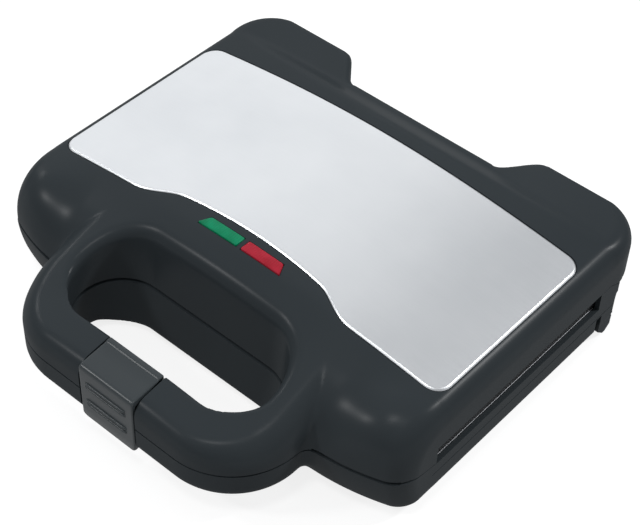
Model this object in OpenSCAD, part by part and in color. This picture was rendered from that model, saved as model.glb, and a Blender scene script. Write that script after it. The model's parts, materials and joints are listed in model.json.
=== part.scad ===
// Two-slice sandwich toaster: hinged lid and base, loop handle, latch clip.
// Origin at the centre of the footprint, on the table, handle towards -Y.

/* [Body] */
// Width of the lid and the base
body_w = 240; // [238:1:246]
// Distance from the latch ridges to the rear of the hinge lugs
overall_d = 228.5; // [227:0.5:232]
// Height of the lid's side edge above the table
deck_h = 56; // [55:0.5:58]
// Rise of the lid's crown above its side edge
crown_h = 9.4; // [8:0.2:11]
// Height of the joint between lid and base
part_z = 28; // [27.5:0.25:29]
// Gap between lid and base at the joint
part_gap = 0.3; // [0.3:0.1:0.6]
// Wall of the lid shell and the base shell
wall = 2.4; // [2.2:0.1:2.8]
// Radius along the lid's top side edges
edge_r = 9; // [7:0.5:10]
// Depth over which the lid's front rolls down to the joint
front_roll = 26; // [24:1:28]
// Distance from the handle's front to the body's front
handle_reach = 42; // [41:0.5:44]
// Radius of the body's front corners, seen from above
front_corner_r = 8; // [6:0.5:10]
// Radius of the bow of the body's front
front_bow_r = 118; // [110:2:130]

/* [Hinge] */
// Radius of the lugs about the hinge axis
lug_r = 16.5; // [16:0.25:17.5]
// Radius of the lugs' outer corners, seen from above
lug_corner_r = 21; // [16.5:0.5:26]
// Radius along the lugs' rear edges
lug_edge_r = 3; // [2:0.5:4]
// Depth of the notch between the lugs
notch_d = 17; // [15:0.5:18]
// Width of each lug at the rear
lug_w = 58; // [56:1:62]
// Length of the curve from the notch to each lug
notch_ease = 19; // [16:1:23]
// Thickness of each hinge arm
arm_t = 10; // [8:0.5:12]
// Distance of each hinge arm's middle from the body's side
arm_side = 45; // [40:1:50]
// Diameter of the hinge pins
hinge_pin_d = 5; // [4:0.25:6]
// Clearance of pins in the pieces that turn on them
pin_gap = 0.15; // [0.1:0.05:0.25]
// Thickness of the lid's hinge ears
ear_t = 3; // [2.5:0.25:4]
// Gap between a hinge arm and an ear
ear_gap = 0.6; // [0.4:0.1:1]

/* [Handle] */
// Width over the loop handle
handle_w = 151; // [148:1:154]
// Radius of the handle's front corners
handle_r = 36; // [33:1:38]
// Radius along the handle's front edges
handle_edge_r = 7; // [5:0.5:8]
// Radius along the outer edges of the handle's arms
arm_edge_r = 11; // [8:0.5:12]
// Depth of the finger hole at the joint
hole_d = 44.4; // [42:0.5:46]
// Width of the handle's bar and arms round the hole
bar_d = 18.5; // [18:0.5:20]
// Radius of the finger hole's upper rim
rim_r = 5; // [4:0.5:6]
// Radius between the handle's arms and the body
neck_r = 5.5; // [4:0.5:7]
// Height of the handle's underside
handle_low_z = 12.5; // [11:0.5:14]
// Slope of the lid from the lamps down to the handle
lid_slope = 0.335; // [0.3:0.005:0.36]

/* [Latch] */
// Width of the latch clip
latch_w = 32.3; // [30:0.5:34]
// Thickness of the latch clip's walls
latch_t = 2.6; // [2.2:0.1:3]
// Gap round the latch clip
latch_gap = 0.8; // [0.4:0.1:0.9]
// Height of the latch clip's lower edge
latch_low_z = 11; // [10:0.5:12]
// Stand of the latch clip's front off the handle
latch_stand = 0.3; // [0.2:0.1:0.6]
// Height of the grip ridges
ridge_h = 0.7; // [0.5:0.1:1]
// Diameter of the latch pin
latch_pin_d = 3; // [2.5:0.25:3.5]

/* [Trim plate and lenses] */
// Distance from the steel trim plate to the body's sides
plate_side = 7; // [6:0.5:9]
// Distance from the body's front to the steel trim plate's front corners
plate_front = 38.5; // [37:0.5:41]
// Distance from the steel trim plate to the base's rear wall
plate_rear = 26.6; // [25:0.5:29]
// Thickness of the steel trim plate
plate_t = 0.8; // [0.6:0.1:1]
// Radius of the steel trim plate's corners
plate_r = 8; // [6:0.5:10]
// Rise of the hump in the steel trim plate's front edge
hump_d = 11.4; // [9:0.2:12]
// Gap round the steel trim plate and the lenses
trim_gap = 0.5; // [0.3:0.1:0.8]
// Half length of the pair of lenses
lens_half = 24.2; // [22:0.2:26]
// Depth of the lenses
lens_d = 6; // [5:0.25:7]
// Thickness of the lenses
lens_t = 3.2; // [2.8:0.1:4]

/* [Cooking plates] */
// Distance from the cooking plates to the body's sides
cook_side = 12; // [11:0.5:14]
// Distance from the finger hole to the cooking plates
cook_front = 4; // [4:0.25:6]
// Distance from the cooking plates to the base's rear wall
cook_rear = 18.6; // [18.6:0.2:21]
// Thickness of the cooking plates
cook_t = 10; // [9.5:0.25:10.5]
// Depth of the sandwich pockets
pocket_d = 8; // [6:0.25:8]
// Width of the rim round the sandwich pockets
pocket_rim = 6; // [5:0.5:8]
// Width of the rib between the two pairs of pockets
pocket_rib = 8; // [6:0.5:12]
// Thickness of the inner frames
frame_t = 3.2; // [2.8:0.1:3.5]
// Diameter of the heating elements
heater_d = 6.5; // [6:0.25:6.5]
// Thickness of the heat shields
shield_t = 0.6; // [0.5:0.1:0.8]

/* [Base] */
// Height of the base's lower edge between its feet
base_edge_z = 8; // [7:0.5:9]
// Height of the base's belly
belly_z = 4.5; // [4:0.25:5]
// Height of the moulded feet's underside
foot_z = 1.8; // [1.4:0.1:2.5]
// Diameter of the rubber pads
pad_d = 12; // [10:0.5:13]
// Height of the base's side wall
side_top_z = 24.5; // [24:0.25:26]
// Height of the lid's lower edge over the slots along the sides
side_slot_z = 34.6; // [33.5:0.1:35]
// Distance from the base's rear wall to the rear of the lugs
rear_step = 18; // [17.5:0.5:20]
// Bore of the cord gland
cord_bore = 6.6; // [6:0.2:7.5]

/* [Hidden] */
$fn = 48;
e = 0.01;
half_w = body_w / 2;
front_y = -overall_d / 2;
rear_y = overall_d / 2;
handle_y = front_y + ridge_h + latch_stand;
body_front_y = handle_y + handle_reach;
front_flat = handle_w / 2 - neck_r;
arm_x = half_w - arm_side;
notch_half = half_w - lug_w - notch_ease;
axis_y = rear_y - lug_r;
axis_z = lid_edge() + lug_r;
notch_y = rear_y - notch_d;
base_rear_y = rear_y - rear_step;
plate_w = body_w - 2 * plate_side;
plate_front_y = body_front_y + plate_front;
plate_rear_y = base_rear_y - plate_rear;
plate_d = plate_rear_y - plate_front_y;
hole_w = handle_w - 2 * bar_d;
hole_y = handle_y + bar_d + hole_d / 2;
hole_r = hole_d / 2;
hole_x = hole_w / 2 - hole_r;
handle_x = handle_w / 2 - handle_r;
handle_cy = handle_y + handle_r;
// The lid's lower edge at the rear, and the side slots between the front corner and the rear block
function lid_edge() = part_z + frame_t + 0.3;
slot_y = plate_front_y - 6.5;
slot_rear_y = base_rear_y - 16.5;
slot_ramp = 16;
rear_wall_z = axis_z - lug_r - part_gap;
cook_w = body_w - 2 * cook_side;
cook_d = base_rear_y - cook_rear - hole_y - hole_r - cook_front;
cook_y = base_rear_y - cook_rear - cook_d / 2;
pocket_w = (cook_w - pocket_rib) / 2 - pocket_rim;
fit = 0.3;

// ---------- shape of the lid's top ----------

function clamp01(t) = min(1, max(0, t));
function ease(a, b, x) = let (t = clamp01((x - a) / (b - a))) t * t * (3 - 2 * t);
function soft(u) = 0.5 * (u + sqrt(u * u + 16));

// Crown across the width, zero at the steel plate's side edges
function crown(x) = let (t = abs(x) / (plate_w / 2)) crown_h * (1 - t * t) * (1 - 0.11 * t * t);

// Fall from the lamps to the handle, flatter along the handle's bar
function fall(y) = let (u = plate_front_y - y) lid_slope * (soft(u) - 0.6 * soft(u - 58));

// Share of that fall: all of it over the handle, none at the body's sides
function fall_share(x) = 1 - ease(handle_w / 2 + 2, half_w - 12, abs(x));

// Step from the crown down to the flat shelf in front of the lugs
function shelf(x, y) = let (t = abs(x) / half_w)
    crown(x) * ease(plate_rear_y + 5 + 12 * t * t, plate_rear_y + 26 - 4 * t * t, y);

function top_z(x, y) = deck_h + crown(x) - fall(y) * fall_share(x) - shelf(x, y);

// Front outline of the body, seen from above
function bow_y(x) = let (u = max(0, abs(x) - front_flat)) body_front_y + u * u / (2 * front_bow_r);
function corner_y(x, w) = let (r = front_corner_r, u = max(0, abs(x) - w + r)) r - sqrt(max(0, r * r - u * u));
function lid_front(x, inset) = bow_y(x) + corner_y(x, half_w - inset) + inset;

// Rear outline of the lid: notch, lugs and their round outer corners
function lid_rear(x, inset) =
    let (u = max(0, abs(x) - (half_w - lug_corner_r)), r = lug_corner_r - inset,
         lugs = notch_y + notch_d * ease(notch_half, notch_half + notch_ease, abs(x)))
    u > 0 ? rear_y - lug_corner_r + sqrt(max(0, r * r - u * u)) : lugs - inset;

// Drop of a rounded edge of radius r at the distance u past the start of the round
function round_drop(r, u) = r - sqrt(max(0, r * r - max(0, u) * max(0, u)));
function side_drop(x, inset) = round_drop(edge_r - inset, abs(x) - (half_w - edge_r));

// Roll of the front, as a share of the height above the joint
function roll(x, y, front) =
    let (t = clamp01((front + front_roll - y) / front_roll), n = 2.3)
    ease(handle_w / 2 - 14, handle_w / 2 + 7, abs(x)) * (1 - pow(1 - pow(t, n), 1 / n));

function rear_drop(y, rear) = round_drop(lug_edge_r, y - rear + lug_edge_r);

// Round of the lugs' outer corners: from the side edges' radius to the rear edges'
function corner_drop(x, y, inset) =
    let (u = abs(x) - (half_w - lug_corner_r), v = y - (rear_y - lug_corner_r),
         r = edge_r + (lug_edge_r - edge_r) * ease(0, 90, atan2(v, u)) - inset * 0.5)
    round_drop(r, norm([u, v]) - (lug_corner_r - inset - r));
function edge_drop(x, y, rear, inset) =
    abs(x) > half_w - lug_corner_r && y > rear_y - lug_corner_r
        ? corner_drop(x, y, inset) : side_drop(x, inset) + rear_drop(y, rear);

function lid_z(x, y, front, rear, inset) =
    let (z = top_z(x, y) - edge_drop(x, y, rear, inset), low = part_z + 0.8)
    z - (z - low) * roll(x, y, front) - inset;

// Grid lines across the width: close together over the rolled sides
function across(inset, n) =
    let (w = half_w - inset, r = edge_r - inset, flat = half_w - edge_r)
    concat([for (a = [0:18:72]) -(w - r + r * cos(a))],
           [for (i = [0:n]) flat * (2 * i / n - 1)],
           [for (a = [72:-18:0]) w - r + r * cos(a)]);

// Grid lines from front to rear: close together over the rolled front and the shelf
function along(front, rear, n) =
    let (a = front + front_roll, b = min(rear - 4, plate_rear_y + 4))
    concat([for (i = [0:7]) front + front_roll * (1 - cos(90 * i / 7))],
           [for (i = [1:n]) a + (b - a) * i / n],
           [for (i = [1:7]) b + (rear - 3 - b) * i / 7],
           [for (i = [1:3]) rear - 3 * (1 - sin(30 * i))]);

// Solid under the lid's top, down to the height floor_z
module lid_body(inset, floor_z, nx, ny) {
    xs = across(inset, nx);
    rows = [for (x = xs)
        let (f = lid_front(x, inset), r = lid_rear(x, inset))
        [for (y = along(f, r, ny)) [x, y, max(floor_z + 0.05, lid_z(x, y, f, r, inset))]]];
    m = len(rows[0]);
    k = len(rows);
    tops = [for (row = rows) for (p = row) p];
    rim = concat([for (i = [0:k - 1]) i * m], [for (j = [1:m - 1]) (k - 1) * m + j],
                 [for (i = [k - 2:-1:0]) i * m + m - 1], [for (j = [m - 2:-1:1]) j]);
    skirt = [for (i = rim) [tops[i][0], tops[i][1], floor_z]];
    s = len(tops);
    c = len(rim);
    polyhedron(points = concat(tops, skirt), convexity = 8, faces = concat(
        [for (i = [0:k - 2]) for (j = [0:m - 2]) [i * m + j, i * m + j + 1, (i + 1) * m + j + 1]],
        [for (i = [0:k - 2]) for (j = [0:m - 2]) [i * m + j, (i + 1) * m + j + 1, (i + 1) * m + j]],
        [for (q = [0:c - 1]) [rim[q], rim[(q + 1) % c], s + (q + 1) % c, s + q]],
        [[for (q = [0:c - 1]) s + q]]));
}

// ---------- loop handle ----------

// Stations round the handle: outer point and a point inside the finger hole
function arm_stations(side) = [
    for (u = [20, 0, -1, -2.5, -neck_r])
        let (v = min(u, 0) + neck_r, y = body_front_y + u)
        [[side * (handle_w / 2 + neck_r - sqrt(max(0, neck_r * neck_r - v * v))), y],
         [side * (hole_w / 2 - 3), max(y, hole_y)]]];
function corner_stations(side) = [
    for (a = [0:10:90])
        [[side * (handle_x + handle_r * cos(a)), handle_cy - handle_r * sin(a)],
         [side * (hole_x + (hole_r - 3) * cos(a)), hole_y - (hole_r - 3) * sin(a)]]];
function bar_stations() = [
    for (t = [0.6, 0.2, -0.2, -0.6])
        [[handle_x * t, handle_y], [hole_x * t, hole_y - hole_r + 3]]];
function reverse(list) = [for (i = [len(list) - 1:-1:0]) list[i]];
function stations() = concat(arm_stations(1), corner_stations(1), bar_stations(),
                             reverse(corner_stations(-1)), reverse(arm_stations(-1)));

// Closed section at one station, from outside to inside; up is 1 for the lid, -1 for the base
function section(s, up, inset, floor_z) =
    let (d = (s[1] - s[0]) / norm(s[1] - s[0]), p0 = s[0] + inset * d,
         r = handle_edge_r + (up > 0 ? (arm_edge_r - handle_edge_r) * d[0] * d[0] : 0) - inset,
         arc = [for (b = [0:22.5:90]) [p0 + r * (1 - cos(b)) * d, r * (1 - sin(b))]],
         crest = function (p) up > 0 ? top_z(p[0], p[1]) - inset : handle_low_z + inset)
    concat([[p0[0], p0[1], floor_z]],
           [for (q = arc) [q[0][0], q[0][1], crest(q[0]) - up * q[1]]],
           [[s[1][0], s[1][1], crest(s[1])], [s[1][0], s[1][1], floor_z]]);

// Solid through a list of closed rings with the same number of points
module loft(rings, flip = false) {
    m = len(rings[0]);
    k = len(rings);
    faces = concat(
        [[for (j = [m - 1:-1:0]) j]],
        [for (i = [0:k - 2]) for (j = [0:m - 1]) [i * m + j, i * m + (j + 1) % m, (i + 1) * m + (j + 1) % m]],
        [for (i = [0:k - 2]) for (j = [0:m - 1]) [i * m + j, (i + 1) * m + (j + 1) % m, (i + 1) * m + j]],
        [[for (j = [0:m - 1]) (k - 1) * m + j]]);
    polyhedron(points = [for (r = rings) for (p = r) p], convexity = 8,
               faces = flip ? [for (f = faces) reverse(f)] : faces);
}

module handle_body(up, inset, floor_z)
    loft([for (s = stations()) section(s, up, inset, floor_z)], up > 0);

// Outline of the finger hole, grown by g; its rear wall leans forwards below the joint
function hole_point(a, g, z) =
    let (c = cos(a), s = sin(a), lean = max(0, s) * (z > part_z ? 0.1 : 0.33) * (z - part_z))
    [(c > 0 ? hole_x : -hole_x) + (hole_r + g) * c, hole_y + (hole_r + g) * s + lean];
hole_angles = [for (i = [0:39]) 4.5 + 9 * i];

module lid_hole(g) {
    flare = [for (b = [0:22.5:90]) [rim_r * (1 - cos(b)), rim_r * (1 - sin(b))]];
    low = [for (a = hole_angles) let (p = hole_point(a, g, part_z)) [p[0], p[1], part_z - 5]];
    rim = [for (f = flare) [for (a = hole_angles)
        let (q = hole_point(a, g + f[0], part_z + 20), z = top_z(q[0], q[1]) - f[1])
        [q[0], q[1], z - (g > 0 ? 0.5 : 0)]]];
    lid = [for (a = hole_angles) let (q = hole_point(a, g + rim_r, part_z + 20)) [q[0], q[1], deck_h + 20]];
    loft(concat([low], rim, [lid]), true);
}

// The hole through the base widens round its lower rim
module base_hole(g)
    loft([for (t = [[0, 6], [0.4, 6], [1, 3.2], [2.4, 1.1], [5, 0], [part_z, 0]]) let (z = t[0] + (t[0] > 0 ? belly_z + g : 0))
        [for (a = hole_angles) let (p = hole_point(a, g + t[1], max(z, base_edge_z))) [p[0], p[1], z]]], true);

// ---------- outlines of the flat pieces ----------

module mirrored() {
    children();
    mirror([1, 0]) children();
}

module body_plan(inset, rear) {
    w = half_w - inset;
    n = 24;
    xs = [for (i = [0:n]) w * sin(90 * i / n)];
    polygon(concat([for (i = [n:-1:0]) [-xs[i], lid_front(xs[i], inset) + 0.5]],
                   [for (i = [1:n]) [xs[i], lid_front(xs[i], inset) + 0.5]],
                   [[w, rear - inset], [-w, rear - inset]]));
}

module handle_plan(inset) {
    mirrored() translate([handle_x, handle_cy]) circle(handle_r - inset, $fn = 96);
    translate([-handle_x, handle_y + inset]) square([2 * handle_x, handle_r]);
    translate([-handle_w / 2 + inset, handle_cy]) square([handle_w - 2 * inset, handle_reach - handle_r + 6]);
}

module hole_plan(grow) {
    mirrored() translate([hole_x, hole_y]) circle(hole_r + grow, $fn = 96);
    translate([-hole_x, hole_y - hole_r - grow]) square([2 * hole_x, 2 * (hole_r + grow)]);
}

module cook_plan(grow) {
    translate([-cook_w / 2 - grow, cook_y - cook_d / 2 - grow]) square([cook_w + 2 * grow, cook_d + 2 * grow]);
}

function hump(x) = (hump_d - x * x / 616) * (1 - ease(40, 65, abs(x)));

// Outline of the steel plate, grown by g
module trim_plan(g) {
    w = plate_w / 2 + g;
    r = plate_r + g;
    n = 44;
    front = [for (i = [0:n]) let (x = (w - r) * (2 * i / n - 1)) [x, plate_front_y - g + hump(x)]];
    polygon(concat(front,
        [for (a = [-75:15:0]) [w - r + r * cos(a), plate_front_y - g + r + r * sin(a)]],
        [for (a = [0:15:90]) [w - r + r * cos(a), plate_rear_y + g - r + r * sin(a)]],
        [for (a = [90:15:180]) [-w + r + r * cos(a), plate_rear_y + g - r + r * sin(a)]],
        [for (a = [180:15:255]) [-w + r + r * cos(a), plate_front_y - g + r + r * sin(a)]]));
}

// Outline of one lens, grown by g; side is -1 for the green one and 1 for the red one
module lens_plan(side, g) {
    y = plate_front_y + 0.7;
    slant = 2.8;
    polygon([[side * (1.3 - g), y - g], [side * (lens_half + g), y - g],
             [side * (lens_half - slant + g), y + lens_d + g], [side * (1.3 - g), y + lens_d + g]]);
}

// Curved sheet under the crown, from depth a to depth b below it
module crown_sheet(a, b) {
    n = 40;
    xs = [for (i = [0:n]) half_w * (2 * i / n - 1)];
    translate([0, plate_rear_y + 10, 0]) rotate([90, 0, 0])
        linear_extrude(plate_d + 30)
            polygon(concat([for (x = xs) [x, deck_h + crown(x) - b]],
                           [for (i = [n:-1:0]) [xs[i], deck_h + crown(xs[i]) - a]]));
}

// Bar along X with the outline given in Y and Z
module bar_x(x0, x1) {
    translate([x0, 0, 0]) rotate([90, 0, 90]) linear_extrude(x1 - x0) children();
}

module rod_x(d, x0, x1, y, z) {
    translate([x0, y, z]) rotate([0, 90, 0]) cylinder(h = x1 - x0, d = d);
}

// ---------- latch ----------

latch_y = handle_y - latch_stand;
latch_top = top_z(0, latch_y + bar_d);
latch_front_z = top_z(0, latch_y + 4) + 0.4;
latch_pin_y = handle_y + bar_d - 5.5;
latch_pin_z = latch_top - 6.2;
latch_half = latch_w / 2;
bevel = 2.2;

// Outline of the latch clip in Y and Z
module latch_profile() {
    y = latch_y;
    z = latch_front_z;
    polygon([[y + bar_d, latch_top], [y + bar_d - 2.4, latch_top + 0.25], [y + bar_d - 3, latch_top - 0.3],
             [y + bevel + 1, z], [y + bevel * 0.45, z - bevel * 0.35], [y, z - bevel - 0.6],
             [y, latch_low_z + 1.4], [y + 1.2, latch_low_z], [y + latch_t, latch_low_z],
             [y + latch_t + 0.4, latch_low_z + 2.2], [y + latch_t + 0.4, latch_low_z + 4.6],
             [y + latch_t, latch_low_z + 5.2], [y + latch_t, z - latch_t - 0.6],
             [y + bar_d, latch_top - latch_t]]);
}

// Space cut from the handle for the latch clip
module latch_seat() {
    g = latch_gap;
    y = latch_y;
    py = latch_pin_y;
    pz = latch_pin_z;
    r = latch_top - latch_t - latch_pin_z - g;
    bar_x(-latch_half - g, latch_half + g) polygon([
        [y + bar_d + 6, pz - 1.6], [py + 5, pz - 1.6], [py + 0.57 * r, pz + 0.82 * r], [py, pz + r],
        [y + latch_t + g, latch_front_z - latch_t - g - 0.6],
        [y + latch_t + g, latch_low_z + 6], [y + latch_t + g + 1.6, latch_low_z + 5.4],
        [y + latch_t + g + 1.6, 0], [y - 5, 0], [y - 5, deck_h], [y + bar_d + 6, deck_h]]);
}

ear_w = 4;
module latch_ear(grow) {
    translate([0, latch_pin_y, latch_pin_z]) rotate([0, 90, 0]) cylinder(h = ear_w + 2 * grow, r = 3.1 + grow);
    translate([0, latch_pin_y - 3.1 - grow, latch_pin_z]) cube([ear_w + 2 * grow, 6.2 + 2 * grow, 5]);
}

module latch() color([0.2, 0.21, 0.22]) difference() {
    union() {
        bar_x(-latch_half, latch_half) latch_profile();
        for (x = [-latch_half + 0.6, latch_half - ear_w - 0.6]) translate([x, 0, 0]) latch_ear(0);
        for (z = [0, -2.4, -11, -13.4])
            rod_x(2 * ridge_h, -latch_half + 4, latch_half - 5, latch_y, latch_front_z - 9 + z);
    }
    rod_x(latch_pin_d + 2 * pin_gap, -half_w, half_w, latch_pin_y, latch_pin_z);
}

module latch_pin() color("silver")
    rod_x(latch_pin_d, -latch_half + 0.8, latch_half - 0.8, latch_pin_y, latch_pin_z);

// ---------- lid ----------

lid_screw_x = half_w - 23;
lid_screw_y = [body_front_y + 14, base_rear_y - 11];
screw_d = 3;

module each_lid_screw() {
    for (x = [-1, 1]) for (y = lid_screw_y) translate([x * lid_screw_x, y, 0]) children();
}

module lid_bosses() {
    each_lid_screw() translate([0, 0, lid_edge() - 0.2]) cylinder(h = 30, d = 7, $fn = 24);
    each_plate_screw() translate([0, 0, upper_face + cook_t + 0.05]) cylinder(h = 26, d = 7, $fn = 24);
}

// Round of the lugs from the side edges down to the axis, grown by g
lug_turn = acos((axis_z - side_slot_z) / lug_r);
function lug_arc(g) = [for (i = [0:6]) let (a = lug_turn * (1 - i / 6))
    [axis_y - (lug_r + g) * sin(a), axis_z - (lug_r + g) * cos(a)]];

// Strips along the sides in which the joint runs down to the slots
module side_strips() {
    for (s = [-1, 1]) translate([s * (half_w - 1), 0, 0]) bar_x(-3, 3) children();
}

// Everything below the lid's lower edge and below the round of the lugs
module lid_trim() {
    difference() {
        bar_x(-half_w - 1, half_w + 1)
            polygon([[front_y - 5, 0], [front_y - 5, part_z], [slot_y + e, part_z], [slot_y + e, 0]]);
        side_strips() polygon([[slot_y - slot_ramp, part_z], [slot_y + 1, part_z + 1],
                               [slot_y + 1, side_top_z + part_gap]]);
    }
    bar_x(-half_w - 1, half_w + 1)
        polygon(concat([[slot_y, 0], [slot_y, side_slot_z]], lug_arc(0),
                       [for (a = [7.5:7.5:90]) [axis_y + lug_r * sin(a), axis_z - lug_r * cos(a)]],
                       [[axis_y + lug_r + 5, axis_z], [axis_y + lug_r + 5, 0]]));
}

arm_slot_z = axis_z + 4;
module arm_slots() {
    w = arm_t / 2 + ear_gap + ear_t + 0.4;
    for (s = [-1, 1]) translate([s * arm_x - w, base_rear_y - 14, part_z - 1])
        cube([2 * w, lug_r + 30, arm_slot_z - part_z + 1]);
}

// One mesh: outer form less the inside, trimmed along its lower edge
module lid_form() {
    resize([body_w, 0, 0]) difference() {
        union() {
            lid_body(0, side_top_z - 1, 36, 9);
            handle_body(1, 0, part_z - 1);
        }
        difference() {
            union() {
                lid_body(wall, side_top_z - 2, 20, 5);
                difference() {
                    handle_body(1, wall, part_z - 4);
                    translate([-latch_half - 3, handle_y - 5, 0]) cube([latch_w + 6, bar_d + 10, deck_h]);
                }
            }
            lid_hole(wall);
            lid_bosses();
        }
        lid_hole(0);
        lid_trim();
        arm_slots();
        latch_seat();
        for (s = [-1, 1]) translate([s * (latch_half - ear_w / 2 - 0.6) - ear_w / 2 - latch_gap, 0, 0])
            latch_ear(latch_gap);
        intersection() {
            linear_extrude(deck_h * 2) trim_plan(trim_gap);
            crown_sheet(-5, plate_t - 0.1);
        }
        for (s = [-1, 1]) linear_extrude(deck_h * 2) lens_plan(s, 0.2);
        each_lid_screw() cylinder(h = lid_edge() + 10, d = screw_d - 0.4, $fn = 16);
        each_plate_screw() cylinder(h = upper_face + cook_t + 8, d = screw_d - 0.4, $fn = 16);
    }
}

module lid_shell() color([0.22, 0.24, 0.25]) difference() {
    lid_form();
    rod_x(latch_pin_d + 0.04, -latch_half - 1, latch_half + 1, latch_pin_y, latch_pin_z);
}

module trim_plate() color([0.82, 0.84, 0.86]) intersection() {
    linear_extrude(deck_h * 2) trim_plan(0);
    crown_sheet(-0.2, plate_t - 0.2);
}

module lens(side) {
    intersection() {
        linear_extrude(deck_h * 2) lens_plan(side, 0);
        crown_sheet(-0.15, lens_t);
    }
}

module green_lens() color([0, 0.55, 0.35]) lens(-1);
module red_lens() color([0.75, 0.15, 0.2]) lens(1);

lamp_y = plate_front_y + 0.7 + lens_d / 2;
lamp_z = deck_h + crown_h - lens_t - 4;
lamp_d = 5;
lamp_l = 18;
lamp_x = lamp_l / 2 + 4;
holder_half = lamp_x + lamp_l / 2 + 7;

module indicator_lamps() color([1, 0.6, 0.4])
    for (s = [-1, 1]) rod_x(lamp_d, s * lamp_x - lamp_l / 2, s * lamp_x + lamp_l / 2, lamp_y, lamp_z);

// Bracket under the lenses, hung from the inside of the lid
module lamp_holder() color([0.85, 0.85, 0.8]) difference() {
    union() {
        translate([-holder_half, lamp_y - lamp_d, lamp_z - lamp_d / 2 - 2]) cube([2 * holder_half, 2 * lamp_d, 2]);
        translate([-1.5, lamp_y - lamp_d, lamp_z - lamp_d / 2 - 2]) cube([3, 2 * lamp_d, 6]);
        for (x = [-holder_half, holder_half - 3]) translate([x, lamp_y - lamp_d, lamp_z - lamp_d / 2 - 1])
            cube([3, 2 * lamp_d, deck_h + crown(holder_half) - wall - 2.4 - lamp_z + lamp_d / 2 + 1]);
    }
    for (s = [-1, 1])
        rod_x(lamp_d + 0.2, s * lamp_x - lamp_l / 2 - 0.1, s * lamp_x + lamp_l / 2 + 0.1, lamp_y, lamp_z);
}

// ---------- inner frames ----------

// How far the frames stand in from the outside of the shells
frame_in = wall + 0.7;
module frame_holes() {
    hole_plan(frame_in + 0.2);
    cook_plan(fit);
    translate([-latch_half - 3, handle_y - 5]) square([latch_w + 6, bar_d + 10]);
}

module lid_frame_plan() {
    difference() {
        union() {
            body_plan(frame_in, base_rear_y - 4);
            handle_plan(frame_in);
        }
        frame_holes();
        for (s = [-1, 1]) translate([s * arm_x - arm_t / 2 - ear_gap, cook_y + cook_d / 2 + 2])
            square([arm_t + 2 * ear_gap, 40]);
    }
}

// Ear that carries the lid on a hinge pin
module hinge_ear() {
    bar_x(0, ear_t) {
        difference() {
            union() {
                translate([axis_y, axis_z]) circle(5.2);
                polygon([[base_rear_y - 18, part_z + frame_t - e], [axis_y + 3, part_z + frame_t - e + 4],
                         [axis_y + 5.1, axis_z], [axis_y - 4, axis_z + 3]]);
            }
            translate([axis_y, axis_z]) circle(d = hinge_pin_d + 2 * pin_gap);
        }
    }
}

module lid_frame() color([0.16, 0.17, 0.18]) {
    difference() {
        union() {
            translate([0, 0, part_z]) linear_extrude(frame_t) lid_frame_plan();
            for (s = [-1, 1]) for (x = [-arm_t / 2 - ear_gap - ear_t, arm_t / 2 + ear_gap])
                translate([s * arm_x + x, 0, 0]) hinge_ear();
        }
        each_lid_screw() cylinder(h = deck_h, d = screw_d + 0.4);
        each_lid_screw() translate([0, 0, part_z - e]) cylinder(h = 1.6, d = 6.4);
    }
}

module base_frame_plan() {
    difference() {
        union() {
            body_plan(frame_in, base_rear_y - 1);
            handle_plan(frame_in);
        }
        frame_holes();
        for (s = [-1, 1]) translate([s * arm_x - arm_t / 2 - 1, cook_y + cook_d / 2 + 2])
            square([arm_t + 2, 40]);
    }
}

base_screw_y = [body_front_y + 14, base_rear_y - 8];
module each_base_screw() {
    for (x = [-1, 1]) for (y = base_screw_y) translate([x * lid_screw_x, y, 0]) children();
}

frame_top = part_z - part_gap;
module base_frame() color([0.16, 0.17, 0.18]) difference() {
    translate([0, 0, frame_top - frame_t]) linear_extrude(frame_t) base_frame_plan();
    each_base_screw() cylinder(h = deck_h, d = screw_d + 0.4);
    each_base_screw() translate([0, 0, frame_top - 1.6]) cylinder(h = 2, d = 6.4);
}

// Countersunk screw standing on its head at z = 0, shank upwards
module screw(length) {
    cylinder(h = 1.4, d = 5.6);
    cylinder(h = length, d = screw_d - 0.5);
}

module lid_screws() color("gray") each_lid_screw() translate([0, 0, part_z + 0.1]) screw(12);
module base_screws() color("gray")
    each_base_screw() translate([0, 0, frame_top - 0.1]) mirror([0, 0, 1]) screw(12);

// ---------- cooking plates and heating ----------

// Plate lying face up, its face at z = 0
module cooking_plate() {
    rail = 1.2;
    inset = 9;
    difference() {
        translate([0, 0, -cook_t]) linear_extrude(cook_t) cook_plan(0);
        for (s = [-1, 1]) for (t = [0, 1]) translate([s * (pocket_w + pocket_rib) / 2, cook_y, 0]) hull() {
            translate([0, 0, -pocket_d]) linear_extrude(e) pocket_plan(t, s, inset);
            translate([0, 0, 1]) linear_extrude(e) pocket_plan(t, s, rail);
        }
        each_plate_screw() translate([0, 0, -cook_t - 1]) cylinder(h = cook_t + 2, d = screw_d + 0.4);
        each_plate_screw() translate([0, 0, -1.6]) cylinder(h = 3, d = 6.2);
    }
}

plate_screw_x = cook_w / 2 - 4;
plate_screw_y = cook_d / 2 - 4;
module each_plate_screw() {
    for (x = [-1, 1]) for (y = [-1, 1]) translate([x * plate_screw_x, cook_y + y * plate_screw_y, 0]) children();
}

// Half of a square pocket, split along its diagonal
module pocket_plan(t, s, inset) {
    w = pocket_w / 2;
    h = cook_d / 2 - pocket_rim;
    k = inset * 2.2;
    polygon(t == 0
        ? [[-s * (w - inset), -h + k], [-s * (w - inset), h - inset], [s * (w - k), h - inset]]
        : [[s * (w - inset), h - k], [s * (w - inset), -h + inset], [-s * (w - k), -h + inset]]);
}

upper_face = part_z + 0.4;
lower_face = frame_top - 0.4;

module upper_cooking_plate() color([0.12, 0.12, 0.13])
    translate([0, 0, upper_face]) mirror([0, 0, 1]) cooking_plate();
module lower_cooking_plate() color([0.12, 0.12, 0.13]) translate([0, 0, lower_face]) cooking_plate();

heater_r = cook_d / 2 - 28;
heater_x = cook_w / 2 - 34;

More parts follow.
